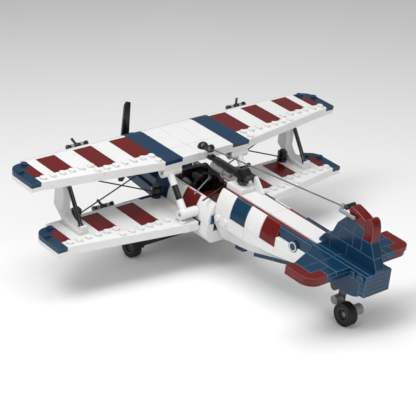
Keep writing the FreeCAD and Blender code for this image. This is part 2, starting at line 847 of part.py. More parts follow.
def make_belly():
    """The tapered shells under the rear body, the rounded one under the wing, and the blue keel plates."""
    core_room = span_box("core_room", (-pitch, pitch), (BODY_BACK - pitch, studs(18)),
                         (SPINE_TOP - plates(6) - gap, zero))
    hollow = span_box("belly_hollow", (wall - pitch, pitch - wall), (BODY_BACK + wall, studs(17)),
                      (SPINE_TOP - plates(8), zero))
    items = []
    for first, last in ((10, 14), (14, 18), (18, 22)):
        label = "belly_shell" + str(first)
        ends = [(studs(first) + gap, hull_section(first)), (studs(last) - gap, hull_section(last))]
        items.append(cut(label, loft(label + "_loft", ends), [core_room, hollow]))
    for side in BOTH_SIDES:
        for place in (10.5, 11.5):
            start = REAR_SIDE if side == PORT else -REAR_SIDE - stud_height
            level = REAR_FOOT - named["bilge_drop"] / 2
            items.append(rod("side_stud" + str(place), "X", start, studs(place), level, stud_radius, stud_height))
    node("belly_shells", items)
    half = named["belly_half_width"] - gap
    items = []
    for start, stop in ((12, 13.2), (14.5, 17), (17, 19.5)):
        y0, y1 = studs(start) + gap, studs(stop) - gap
        level0, level1 = keel_level(start), keel_level(stop)
        level0, level1 = level0 - gap, level1 - gap
        points = [(y0, level0), (y1, level1), (y1, level1 - plate), (y0, level0 - plate)]
        items.append(profile("keel_plate" + str(start), "YZ_Plane", points, -half, half))
    node("keel_plates", items)
    outline = rectangle(-FRONT_SIDE, FRONT_SIDE, BELLY_BOTTOM, WING_BOTTOM)
    body = profile("front_belly_bar", "XZ_Plane", outline, studs(3), BODY_BACK - gap)
    document.recompute()
    round_edges(body, body.Tip, plates(2.5), lambda edge: low_and_long(edge, BELLY_BOTTOM.value))
    blocks = [body]
    for side in BOTH_SIDES:
        x = side_pair(side, studs(2), FRONT_SIDE)
        for label, first, last in (("front", BODY_FRONT, STAGGER), ("back", STAGGER + studs(6), BODY_BACK)):
            y = (first + gap, last - gap)
            blocks.append(span_box("root_block_" + label, x, y, (WING_BOTTOM, LOWER_TOP)))
    node("front_belly", blocks)


def low_and_long(edge, level):
    """True for an edge along Y at the lowest level."""
    ends = [vertex.Point for vertex in edge.Vertexes]
    if len(ends) != 2:
        return False
    low = all(abs(end.z - level) < gap.value for end in ends)
    return low and abs(ends[0].x - ends[1].x) < gap.value


def cockpit_place(count):
    """A place in the cockpit, in studs on the body's grid; it follows the lower wing."""
    return STAGGER + studs(count - 3)


def make_cockpit():
    """Thin side walls and the brown lining, with the seat, the panel and the controls."""
    wall_out = studs(2) - gap
    wall_in = wall_out - wall
    walls = []
    for side in BOTH_SIDES:
        x = side_pair(side, wall_in, wall_out)
        for first, last in ((2, 6), (6, 10)):
            y = (studs(first) + gap, studs(last) - gap)
            walls.append(span_box("cockpit_wall" + str(first), x, y, (LOWER_TOP, SILL)))
    node("cockpit_walls", walls)
    lining_out = wall_in - gap
    lining_in = lining_out - plate / 2
    lining = []
    for x in (-studs(2), zero):
        lining.append(copy(shared_tile(2, 6), "lining_floor" + str(x.value), x, STAGGER, LOWER_TOP - plate))
    across = (-lining_out, lining_out)
    lining.append(span_box("lining_front", across, (STAGGER + gap, cockpit_place(4) - gap), (LOWER_TOP, SILL)))
    lining.append(span_box("lining_back", across, (cockpit_place(9) + gap, BODY_BACK - gap),
                           (LOWER_TOP, SILL + plate * 0.9)))
    for side in BOTH_SIDES:
        x = side_pair(side, lining_in, lining_out)
        y = (cockpit_place(4) + gap, cockpit_place(9) - gap)
        lining.append(span_box("lining_side" + str(side), x, y, (LOWER_TOP, SILL - gap * 3)))
    node("cockpit_lining", lining)
    seat_half = pitch - gap
    seat_points = [
        (cockpit_place(6.2), LOWER_TOP),
        (cockpit_place(8.25), LOWER_TOP),
        (cockpit_place(8.75), LOWER_TOP + plates(4.9)),
        (cockpit_place(8.35), LOWER_TOP + plates(4.9)),
        (cockpit_place(7.95), LOWER_TOP + plates(3.1)),
        (cockpit_place(7.7), LOWER_TOP + plates(2.8)),
        (cockpit_place(6.2), LOWER_TOP + plates(2.6)),
    ]
    node("seat", [profile("seat_body", "YZ_Plane", seat_points, -seat_half, seat_half)])
    make_instruments(lining_in)
    make_levers()


def make_instruments(side_room):
    """The black panel with its knobs and barrels, and the control stick in its socket."""
    board_half = side_room - gap
    front = cockpit_place(4.02)
    back = front + plate
    board = span_box("panel_board", (-board_half, board_half), (front, back), (LOWER_TOP, SILL + plates(2)))
    panel = [board]
    for x in (-0.7, 0.1):
        panel.append(rod("panel_knob" + str(x), "Y", studs(x), back, SILL - plate / 2, plate / 2, plate / 2))
    barrel_x = board_half - plate
    barrel_z = SILL - plate * 0.75
    barrels = [
        fuse("barrel_port", [
            rod("barrel_port_body", "Y", barrel_x, back, barrel_z, plate * 0.7, plates(2.1)),
            rod("barrel_port_cap", "Y", barrel_x, back, barrel_z, plate * 0.95, plate * 0.8),
        ]),
        rod("barrel_starboard", "Y", -barrel_x, back, barrel_z, plate * 0.7, plates(2)),
        rod_between("pale_rod", (gap, cockpit_place(6.5), SILL + plate * 1.6),
                    (studs(2.8), cockpit_place(7.8), SILL + plate * 0.6), gap * 5),
    ]
    node("dial_barrels", barrels)
    stick_y = cockpit_place(5.6)
    pivot_z = LOWER_TOP + plate * 0.7
    socket = rod("stick_socket", "Z", zero, stick_y, LOWER_TOP, plate * 0.9, plate * 0.6)
    socket_room = ball("stick_socket_room", zero, stick_y, pivot_z, bar_radius + fit)
    panel.append(cut("stick_socket_piece", socket, [socket_room]))
    node("instrument_panel", panel)
    pivot = ball("stick_pivot", zero, stick_y, pivot_z, bar_radius)
    stick = rod("stick_rod", "Z", zero, stick_y, pivot_z, bar_radius * 0.6, plates(3.5))
    knob = ball("stick_knob", zero, stick_y, pivot_z + plates(3.6), bar_radius * 0.8)
    node("control_stick", [fuse("stick", [pivot, stick, knob])])


def make_levers():
    """A black hoop over the pilot's knees and the levers on both sides of it."""
    thin = plate * 0.38
    hoop_y = cockpit_place(5.9)
    hoop_z = SILL - plate * 1.2
    hoop_radius = plates(3.25)
    hoop = ring("hoop_ring", "Y", zero, hoop_y, hoop_z, hoop_radius, thin)
    above = span_box("hoop_room", (-studs(2), studs(2)), (hoop_y - pitch, hoop_y + pitch), (hoop_z, zero))
    solid = [common("hoop", [hoop, above])]
    for side in BOTH_SIDES:
        solid.append(rod("hoop_leg" + str(side), "Z", hoop_radius * side, hoop_y, LOWER_TOP, thin, hoop_z - LOWER_TOP))
    thick = plate / 2
    port_x, port_y = studs(0.85), cockpit_place(5.5)
    port_top = SILL + plate * 1.2
    solid.append(rod("port_lever", "Z", port_x, port_y, LOWER_TOP, thick, port_top - LOWER_TOP))
    solid.append(span_box("port_lever_head", (port_x - plate * 0.6, port_x + plate * 0.6),
                          (port_y - thick, cockpit_place(6.3)), (port_top, port_top + plate)))
    far_x, far_y = -studs(0.6), cockpit_place(5.35)
    far_top = (far_x, far_y, SILL + plates(2.9))
    hinge = (far_x + gap * 10, cockpit_place(7), SILL + plates(2.75))
    end = (far_x + plate, cockpit_place(8), SILL + plates(2.4))
    tip = (zero, cockpit_place(8.85), SILL + plates(2.5))
    handle = (studs(3), cockpit_place(9.25), SILL + plate * 0.7)
    near_levers = fuse("near_levers", solid)
    solid = []
    solid.append(rod("far_lever", "Z", far_x, far_y, LOWER_TOP, thick, far_top[2] - LOWER_TOP))
    solid.append(ball("far_lever_top", *far_top, plate * 0.6))
    solid.append(rod_between("far_arm", far_top, hinge, thick))
    solid.append(ball("far_hinge", *hinge, plate * 0.75))
    solid.append(rod_between("far_arm_end", hinge, end, thick))
    solid.append(rod_between("far_arm_tip", end, tip, thin))
    solid.append(ball("far_arm_joint", *end, thick * 1.2))
    solid.append(ball("far_tip", *tip, thin * 1.2))
    solid.append(rod_between("long_handle", tip, handle, gap * 6))
    node("cockpit_levers", [near_levers, fuse("far_levers", solid)])


def make_cowl():
    """The dark blue engine cowl: stacked core, tapered side shells, top tiles and round front ring."""
    front = -named["nose_length"]
    top = SILL + plate
    outline = rectangle(-pitch, pitch, WING_BOTTOM, top - plate)
    body = profile("cowl_core_block", "XZ_Plane", outline, front + pitch, STAGGER - gap)
    bore = rod("shaft_room", "Y", zero, front, -SHAFT_DROP, bar_radius + fit, studs(4))
    tiles = [cut("cowl_core_body", body, [bore])]
    lay_tile(tiles, -pitch, front + pitch, top, 2, 4)
    lay_tile(tiles, -pitch, front + pitch * 5, top, 2, 3)
    sides = []
    taper = named["cowl_taper"]
    for side in BOTH_SIDES:
        for index in range(3):
            low = WING_BOTTOM + (SILL - WING_BOTTOM) * (index / 3)
            high = WING_BOTTOM + (SILL - WING_BOTTOM) * ((index + 1) / 3)
            spread = (1.0, 0.85, 0.45)[index]
            near = pitch + gap
            far_back = pitch + (FRONT_SIDE - pitch) * spread
            far_front = far_back - taper
            points = [
                (near * side, front + pitch),
                (far_front * side, front + pitch),
                (far_back * side, BODY_FRONT - gap),
                (near * side, BODY_FRONT - gap),
            ]
            label = "cowl_shell" + str(side) + str(index)
            sides.append(profile(label, "XY_Plane", points, low + gap / 2, high - gap / 2))
    node("cowl_sides", sides)
    node("cowl_core", tiles)
    radius = (SILL - WING_BOTTOM) * 0.5
    middle = -SHAFT_DROP
    face = rod("cowl_face_disc", "Y", zero, front + plate, middle, radius, pitch - plate - gap)
    bearing = rod("cowl_bearing", "Y", zero, front + gap, middle, pitch / 2, plate)
    hole = rod("cowl_face_hole", "Y", zero, front - pitch, middle, bar_radius + fit, studs(3))
    node("cowl_face", [cut("cowl_face_piece", fuse("cowl_face_solid", [face, bearing]), [hole])])


def make_propeller():
    """Two blades on a hub, a cross pin and a shaft that turns in the cowl."""
    front = -named["nose_length"]
    middle = -SHAFT_DROP
    hub_back = front - part_gap
    hub_long = plates(2)
    root_half = named["blade_width"] / 2
    tip_half = named["blade_tip_width"] / 2
    reach = named["blade_reach"]
    blade_y = hub_back - hub_long / 2 - named["blade_thickness"] / 2
    hub_radius = pitch / 2
    blades = []
    for side in BOTH_SIDES:
        points = [
            (-root_half * side, middle + hub_radius * side * 0.6),
            (root_half * side, middle + hub_radius * side * 0.6),
            (tip_half * side, middle + (reach - tip_half) * side),
            (tip_half * side * 0.3, middle + reach * side),
            (-tip_half * side, middle + (reach - tip_half * 0.4) * side),
        ]
        blades.append(profile("blade" + str(side), "XZ_Plane", points, blade_y,
                              blade_y + named["blade_thickness"]))
    hub = rod("hub_barrel", "Y", zero, hub_back - hub_long, middle, hub_radius, hub_long)
    slots = [span_box("hub_slot", (-studs(1), studs(1)), (blade_y, blade_y + named["blade_thickness"]),
                      (middle - studs(1), middle + studs(1)))]
    node("propeller_blades", [fuse("blade_pair", blades + [common("blade_root", [hub, slots[0]])])])
    spinner = ball("spinner_ball", zero, hub_back - hub_long, middle, hub_radius * 0.8)
    pin = rod("cross_pin", "X", -studs(1.5), blade_y - bar_radius * 1.2, middle, bar_radius, studs(3))
    hub_copy = rod("hub_barrel_copy", "Y", zero, hub_back - hub_long, middle, hub_radius, hub_long)
    room = span_box("blade_room", (-studs(2), studs(2)), (blade_y, blade_y + named["blade_thickness"]),
                    (middle - studs(2), middle + studs(2)))
    shaft = rod("shaft_rod", "Y", zero, hub_back, middle, bar_radius, studs(3))
    hub_whole = fuse("hub_whole", [hub_copy, spinner, pin])
    pieces = cut("hub_piece", hub_whole, [room])
    node("propeller_hub", [pieces, shaft])


# ---- struts, wires and small fittings ----

def between(start, end, share):
    """A place part of the way along a straight line."""
    return tuple(as_size(low) + (as_size(high) - low) * share for low, high in zip(start, end))


def make_cabane():
    """The four leaning struts between body and upper wing, with round connectors at both ends."""
    wing_bottom = -plates(2)
    connector = named["connector_radius"]
    white, black = [], []
    for side in BOTH_SIDES:
        tag = "port" if side == PORT else "starboard"
        x = studs(4.1) * side
        top = (x, CABANE_TOP_Y, CABANE_TOP_Z)
        foot = (x, CABANE_FOOT_Y, CABANE_FOOT_Z)
        upper_end = between(top, foot, 1 / 3)
        lower_end = between(top, foot, 2 / 3)
        near, far = side_pair(side, studs(3), studs(5))
        barrel = rod("cabane_top_" + tag, "X", near, top[1], top[2], connector, far - near)
        saddle = span_box("cabane_saddle_" + tag, (near + gap, far - gap),
                          (CABANE_TOP_Y - plate, CABANE_TOP_Y + plate), (CABANE_TOP_Z, wing_bottom))
        arm = rod_between("cabane_arm_" + tag, top, upper_end, connector * 0.72)
        bore = rod("cabane_bore_" + tag, "X", near - gap, top[1], top[2], bar_radius, far - near + gap * 2)
        white.append(cut("cabane_upper_" + tag, fuse("cabane_head_" + tag, [barrel, saddle, arm]), [bore]))
        black.append(rod_between("cabane_axle_" + tag, upper_end, lower_end, connector * 0.59))
        near, far = side_pair(side, FRONT_SIDE, studs(4.7))
        barrel = rod("cabane_foot_" + tag, "X", near, foot[1], foot[2], connector, far - near)
        arm = rod_between("cabane_low_arm_" + tag, lower_end, foot, connector * 0.72)
        outer = far - studs(1) if side == PORT else near
        bore = rod("cabane_low_bore_" + tag, "X", outer, foot[1], foot[2], bar_radius, studs(1))
        white.append(cut("cabane_lower_" + tag, fuse("cabane_shoe_" + tag, [barrel, arm]), [bore]))
    node("cabane_struts", white)
    node("cabane_axles", black)


CABANE_TOP_Y = studs(5.55)
CABANE_TOP_Z = -plates(2) - named["connector_radius"] - gap * 2
CABANE_FOOT_Y = studs(8.2)
CABANE_FOOT_Z = LOWER_TOP + stud_height + named["connector_radius"] + gap * 2.6
STRUT_NEAR = studs(13)
WIRE_Y = STAGGER + 1.2
UPPER_BOTTOM = -plates(2)


def make_interplane_struts():
    """The outer struts, their feet swept aft, and the round diagonal bar behind each."""
    depth = named["strut_depth"]
    front = STAGGER - depth - 0.6
    back = front + depth
    struts, bars = [], []
    for side in BOTH_SIDES:
        low, high = side_pair(side, STRUT_NEAR + gap, STRUT_NEAR + pitch - gap)
        points = [
            (pitch + gap, UPPER_BOTTOM),
            (STAGGER - pitch * 0.4, UPPER_BOTTOM),
            (STAGGER - pitch * 0.4, UPPER_BOTTOM - plate),
            (back, UPPER_BOTTOM - plates(2)),
            (back, LOWER_TOP + plates(3.3)),
            (back + plate, LOWER_TOP + plates(1.9)),
            (back + pitch, LOWER_TOP + plate),
            (STAGGER + studs(2.8), LOWER_TOP + plate),
            (STAGGER + studs(2.8), LOWER_TOP),
            (STAGGER + gap, LOWER_TOP),
            (STAGGER + gap, LOWER_TOP + plate),
            (front, LOWER_TOP + plates(3.3)),
            (front, UPPER_BOTTOM - plates(2)),
            (pitch + gap, UPPER_BOTTOM - plate),
        ]
        struts.append(profile("outer_strut" + str(side), "YZ_Plane", points, low, high))
        x = (STRUT_NEAR + pitch / 2) * side
        foot_y = STAGGER + studs(2.3)
        end_radius = bar_radius * 1.25
        foot_z = LOWER_TOP + plate + end_radius
        cup_y = foot_y + end_radius + gap
        struts.append(span_box("bar_cup" + str(side), (x - plate, x + plate), (cup_y, cup_y + wall),
                               (LOWER_TOP + plate, LOWER_TOP + plates(2))))
        start = (x, STAGGER, UPPER_BOTTOM - plate * 1.1)
        end = (x, foot_y, foot_z)
        bar = rod_between("diagonal" + str(side), start, end, bar_radius)
        bars.append(fuse("diagonal_bar" + str(side), [bar, ball("diagonal_end" + str(side), *end, end_radius)]))
    node("interplane_struts", struts)
    node("diagonal_bars", bars)


def waisted_knob(name, x, y, z):
    """A round fitting with a narrow waist, as wide as a stud cell."""
    wide = pitch / 2 - gap
    return fuse(name, [
        rod(name + "_foot", "Z", x, y, z, wide, plate * 0.7),
        rod(name + "_waist", "Z", x, y, z, stud_radius, plates(3)),
        rod(name + "_head", "Z", x, y, z + plates(1.5), wide, plate),
    ])


def make_wires():
    """Crossed bracing wires from fittings under the upper wing to knobs on the lower one."""
    wire_radius = named["wire_radius"]
    knobs, wires = [], []
    knob_level = LOWER_TOP + plates(1.1)
    anchor_level = UPPER_BOTTOM - plate / 2
    for side in BOTH_SIDES:
        inner = studs(3.4) * side
        outer = studs(12.5) * side
        anchor_inner = studs(2.6) * side
        spans = (
            (anchor_inner, outer, WIRE_Y + pitch / 8),
            (outer, inner, WIRE_Y - pitch / 8),
        )
        for index, (high_x, low_x, y) in enumerate(spans):
            label = str(side) + "_" + str(index)
            start = (high_x, y, anchor_level)
            end = (low_x, y, knob_level)
            wires.append(rod_between("wire" + label, start, end, wire_radius))
            room = rod_between("wire_room" + label, start, end, wire_radius)
            other = rod_between("wire_room_low" + label, start, end, wire_radius)
            knobs.append(cut("knob" + label, waisted_knob("knob_solid" + label, low_x, WIRE_Y, LOWER_TOP), [other]))
            hook = rod("hook" + label, "Z", high_x, WIRE_Y, UPPER_BOTTOM - plate, stud_radius, plate)
            knobs.append(cut("hook_piece" + label, hook, [room]))
    node("wire_knobs", knobs)
    node("bracing_wires", wires)


def make_edge_clips():
    """A black bar in front of each leading edge, on a small foot, with collars, grey sleeves and a hook."""
    black, grey = [], []
    length = studs(2.25)
    places = (
        ("upper", studs(8.45), zero, zero),
        ("lower", studs(7.3), STAGGER, LOWER_TOP),
    )
    for word, near, front, top in places:
        y = front - pitch - bar_radius * 1.35 - gap
        z = top - plate - gap * 2
        for side in BOTH_SIDES:
            tag = word + str(side)
            low, high = side_pair(side, near, near + length)
            middle = (low + high) / 2
            solid = [rod("clip_bar_" + tag, "X", low, y, z, bar_radius, length)]
            for index, share in enumerate((0, 0.44, 0.9)):
                x = low + length * share
                solid.append(rod("clip_collar_" + tag + str(index), "X", x, y, z, bar_radius * 1.35, plate / 2))
            solid.append(span_box("clip_foot_" + tag, (middle - plate / 2, middle + plate / 2),
                                  (y, front - pitch), (z - bar_radius / 2, z + bar_radius / 2)))
            hook_end = (middle + plate * side, y - plate, z + plates(1.6))
            solid.append(rod_between("clip_hook_" + tag, (middle, y, z), hook_end, bar_radius * 0.6))
            black.append(fuse("clip_" + tag, solid))
            for index, share in enumerate((0.22, 0.68)):
                x = low + length * share
                sleeve = rod("clip_sleeve_" + tag + str(index), "X", x, y, z, bar_radius * 1.2, plate * 0.8)
                core = rod("clip_sleeve_room_" + tag + str(index), "X", x - gap, y, z, bar_radius, plate)
                grey.append(cut("clip_sleeve_piece_" + tag + str(index), sleeve, [core]))
    node("edge_clip_bars", black)
    node("edge_clip_ends", grey)


def make_backstay():
    """The wire from the upper wing to the fin, its domed fitting, and the bent bar that holds it on the fin."""
    wire_radius = named["wire_radius"]
    eye_y, eye_z = studs(6.25), plate * 0.8
    start = (zero, eye_y, eye_z)
    end = (zero, BACKSTAY_Y, BACKSTAY_Z)
    dome_y = studs(5.2)
    dome = ball("backstay_dome", zero, dome_y, zero, plate * 1.35)
    above = span_box("backstay_dome_room", (-pitch, pitch), (studs(4), studs(7)), (zero, plates(1.3)))
    link = span_box("backstay_link", (-plate * 0.6, plate * 0.6), (dome_y, studs(6)), (zero, plate * 0.9))
    eye = rod("backstay_eye", "X", -plate / 2, eye_y, eye_z, plate * 0.9, plate)
    eye_room = rod("backstay_eye_room", "X", -plate, eye_y, eye_z, plate * 0.45, plates(2))
    wing_room = span_box("backstay_wing_room", (-pitch, pitch), (studs(4), studs(6)), (-pitch, zero))
    solid = fuse("backstay_fitting_solid", [common("backstay_lid", [dome, above]), link, eye])
    pin = rod("backstay_pin", "X", -plate / 2, eye_y, eye_z, plate * 0.45, plate)
    wire_room = rod_between("backstay_room", start, end, wire_radius)
    fitting = cut("backstay_fitting_body", solid, [eye_room, wing_room, wire_room])
    wire = rod_between("backstay", start, end, wire_radius)
    node("backstay_wire", [wire, cut("backstay_pin_piece", pin, [rod_between("pin_room", start, end, wire_radius)])])
    bar = bar_radius * 0.8
    side_x = FIN_HALF + bar * 1.25
    bend = (side_x, tail_place(23.35), BACKSTAY_Z)
    far = (side_x, tail_place(24.85), BACKSTAY_Z)
    lever = [
        ball("lever_knob", *end, bar_radius * 1.3),
        rod_between("lever_front", end, bend, bar),
        ball("lever_bend", *bend, bar * 1.15),
        rod_between("lever_back", bend, far, bar),
        ball("lever_end", *far, bar * 1.2),
    ]
    room = rod_between("lever_wire_room", start, end, wire_radius)
    node("fin_lever", [cut("lever_piece", fuse("lever_solid", lever), [room])])
    clip_y, clip_z = tail_place(23.7), DECK + plates(10.7)
    clip = [
        rod("lever_clip_barrel", "X", gap - FIN_HALF, clip_y, clip_z, plate * 0.6, (FIN_HALF - gap) * 2),
        span_box("lever_clip_foot", (-plate * 0.7, plate * 0.7), (clip_y, tail_place(23.98)),
                 (clip_z - plate * 0.3, clip_z + plate * 0.3)),
    ]
    node("backstay_fittings", [fitting, fuse("lever_clip_piece", clip)])


BACKSTAY_Y = studs(23.3)
BACKSTAY_Z = plates(5.7)


# ---- tail ----

FIN_HALF = pitch / 2
SHIFT = named["tail_shift"]


def tail_place(count):
    """A place on the tail's own stud grid."""
    return studs(count) + SHIFT


def make_tail():
    """The tail block with its stacked end plates and rounded heel, the two stabilisers and the fin."""
    block = []
    middle = plates(1)
    bottom = DECK - plates(2)
    half = pitch * 1.5
    seam = gap / 2
    end_front = studs(27.75)
    columns = ((-half, -pitch), (-pitch, pitch), (pitch, half))
    for index, (low, high) in enumerate(columns):
        x = (low + seam, high - seam)
        for first, last in ((22, 24), (24, 28)):
            start = TAIL_START + gap if first == 22 else tail_place(first) + gap
            y = (start, tail_place(last) - gap)
            block.append(span_box("tail_plate", x, y, (DECK - middle + seam, DECK)))
        y = (TAIL_START + gap, TAIL_END - gap)
        block.append(span_box("tail_under_plate", x, y, (bottom + seam, DECK - middle)))
        heel = [
            (studs(23.5), bottom),
            (studs(23.7), bottom - plates(1.7)),
            (studs(24.1), bottom - plates(3)),
            (studs(24.6), bottom - plates(3.9)),
            (studs(25.1), bottom - plates(4.3)),
            (studs(26.5), bottom - plates(4.3)),
            (studs(27.2), bottom - plates(4)),
            (end_front - gap, bottom - plates(3.4)),
            (end_front - gap, bottom),
        ]
        block.append(profile("tail_heel" + str(index), "YZ_Plane", heel, x[0], x[1]))
    for level in range(3):
        z = (bottom - plates(level + 1) + seam, bottom - plates(level))
        block.append(span_box("tail_end_plate", (seam - half, half - seam), (end_front, TAIL_END - gap), z))
    bridge_y = (TAIL_START + gap, studs(23.5) - gap)
    block.append(span_box("tail_bridge", (-pitch, pitch), bridge_y, (bottom - plates(3), bottom)))
    for side in BOTH_SIDES:
        start = half - seam if side == PORT else seam - half - stud_height
        for place in (26.5, 27.5):
            level = DECK - middle - gap
            block.append(rod("tail_stud", "X", start, tail_place(place), level, stud_radius, stud_height))
    node("tail_block", block)
    make_stabilisers(half)
    make_fin()


def make_stabilisers(root_x):
    """Two layers on each side: a base plate with a swept front, and smooth tiles with red tips."""
    blue, red = [], []
    bottom = DECK - plates(2)
    middle = DECK - plate
    near = root_x + gap
    tip = studs(6)
    back = tail_place(26)
    for side in BOTH_SIDES:
        tag = "stabiliser" + str(side)

        def lay(group, label, points, low, high):
            piece = profile(tag + label, "XY_Plane", [(x * side, y) for x, y in points], low, high)
            group.append(piece)
            return piece

        front_root = tail_place(22) - plate * 0.7
        front_tip = tail_place(23)
        knee = studs(5) - gap
        notch_x, notch_y = studs(4), tail_place(25)
        outline = [(near, front_root), (knee, front_tip), (knee, notch_y - gap), (notch_x - gap, notch_y - gap),
                   (notch_x - gap, back), (near, back)]
        lay(blue, "_base", outline, bottom, middle - gap / 2)
        outline = [(knee + gap * 2, front_tip), (tip - gap, front_tip), (tip - gap, back), (notch_x + gap, back),
                   (notch_x + gap, notch_y + gap), (knee + gap * 2, notch_y + gap)]
        base = lay(red, "_tip_base", outline, bottom, middle - gap / 2)
        corner = FreeCAD.Vector((tip - gap).value * side, back.value, 0)
        document.recompute()
        round_edges(base, base.Tip, studs(1.25), lambda edge: upright_at(edge, corner))
        seam = studs(3)
        run = front_tip - front_root
        front_seam = front_root + run * ((seam - near) / (knee - near))
        row = tail_place(24)
        lay(blue, "_root", [(near, front_root + gap), (seam - gap, front_seam + gap), (seam - gap, row - gap),
                            (near, row - gap)], middle, DECK)
        lay(blue, "_front", [(seam + gap, front_seam + gap), (knee, front_tip + gap), (knee, row - gap),
                             (seam + gap, row - gap)], middle, DECK)
        lay(blue, "_aft_root", rectangle(near, seam - gap, row + gap, back - gap), middle, DECK)
        lay(blue, "_aft", rectangle(seam + gap, knee, row + gap, tail_place(25) - gap), middle, DECK)
        lay(blue, "_aft_end", rectangle(seam + gap, studs(4) - gap, tail_place(25) + gap, back - gap), middle, DECK)
        lay(red, "_tip", rectangle(knee + gap * 2, tip - gap, front_tip + gap, tail_place(25) - gap), middle, DECK)
        cap = lay(red, "_cap", rectangle(studs(4) + gap, tip - gap, tail_place(25) + gap, back - gap), middle, DECK)
        corner = FreeCAD.Vector((tip - gap).value * side, (back - gap).value, 0)
        document.recompute()
        round_edges(cap, cap.Tip, pitch * 0.95, lambda edge: upright_at(edge, corner))
    node("stabilisers", blue)
    node("stabiliser_tips", red)


def make_fin():
    """The fin in stacked bricks and the rounded red rudder pieces on top."""
    lean = named["fin_slope_run"]
    thick = (gap - FIN_HALF, FIN_HALF - gap)
    outline = [
        (tail_place(22.5), DECK),
        (tail_place(22.5), DECK + plates(3.1)),
        (tail_place(23), DECK + plates(6.4)),
        (tail_place(24.2), DECK + plates(9.7)),
        (tail_place(25), DECK + plates(8.75)),
        (tail_place(26) - gap, DECK + plates(8.2)),
        (tail_place(26) - gap, DECK + plates(6)),
        (tail_place(27), DECK + plates(6)),
        (tail_place(27) + lean, DECK + plate * 0.8),
        (tail_place(27) + lean, DECK),
    ]
    bricks = (
        (22, 24.5, 0, 3), (24.5, 29, 0, 3),
        (22, 23.5, 3, 6), (23.5, 25, 3, 6), (25, 26, 3, 6), (26, 29, 3, 6),
        (22, 24, 6, 10), (24, 25, 6, 10), (25, 27, 6, 10),
    )
    blue = []
    for index, (first, last, low, high) in enumerate(bricks):
        slab = profile("fin_outline" + str(index), "YZ_Plane", outline, *thick)
        layer = span_box("fin_layer" + str(index), (-pitch, pitch), (tail_place(first) + gap, tail_place(last) - gap),
                         (DECK + plates(low), DECK + plates(high) - gap))
        blue.append(common("fin_piece" + str(index), [slab, layer]))
    wedge = [
        (studs(21.6), DECK),
        (studs(21.6), DECK + plate / 2),
        (studs(22.1), DECK + plates(2.2)),
        (studs(22.6), DECK + plates(3.05)),
        (tail_place(22.5) - gap, DECK + plates(3.1)),
        (tail_place(22.5) - gap, DECK),
    ]
    blue.append(profile("fin_root", "YZ_Plane", wedge, *thick))
    node("fin", blue)
    front = [
        (24.2, 9.75), (24.03, 10.6), (24.12, 11.4), (24.4, 11.55), (25, 11.15), (25.5, 10.75), (25.97, 10.25),
        (25.97, 8.25), (25, 8.8),
    ]
    rear = [
        (26.02, 6.05), (26.02, 10.2), (26.15, 10.75), (26.4, 11.05), (26.65, 10.85), (26.82, 10.3), (26.95, 9.3),
        (27, 8.2), (27, 6.05),
    ]
    pieces = []
    for index, places in enumerate((front, rear)):
        points = [(tail_place(along), DECK + plates(up)) for along, up in places]
        pieces.append(profile("rudder" + str(index), "YZ_Plane", points, *thick))
    node("rudder", pieces)


# ---- undercarriage ----

def make_wheel(tag, middle_x, y, z):
    """A tyre with three ribs and a hub inside it, bored for its axle; the two turn together."""
    half = named["wheel_width"] / 2
    radius = named["wheel_radius"]
    hub_radius = radius * 0.62
    start = middle_x - half
    rib = named["wheel_width"] / 5
    tyre = [
        rod("tyre_inner_" + tag, "X", start + gap, y, z, radius - plate / 8, half * 2 - gap * 2),
    ]
    for index in (0, 2, 4):
        tyre.append(rod("tyre_rib_" + tag + str(index), "X", start + rib * index, y, z, radius, rib))
    hole = rod("tyre_hole_" + tag, "X", start - gap, y, z, hub_radius, half * 2 + gap * 2)
    node("tyre_" + tag, [cut("tyre_piece_" + tag, fuse("tyre_solid_" + tag, tyre), [hole])])
    disc = rod("hub_disc_" + tag, "X", start + gap, y, z, hub_radius, half * 2 - gap * 2)
    bore = rod("hub_bore_" + tag, "X", start - gap, y, z, bar_radius + fit, half * 2 + gap * 2)
    dish = rod("hub_dish_" + tag, "X", middle_x + half - plate / 2, y, z, hub_radius * 0.78, plate)
    dish_in = rod("hub_dish_in_" + tag, "X", start - plate / 2, y, z, hub_radius * 0.78, plate)
    node("wheel_hub_" + tag, [cut("hub_piece_" + tag, disc, [bore, dish, dish_in])])


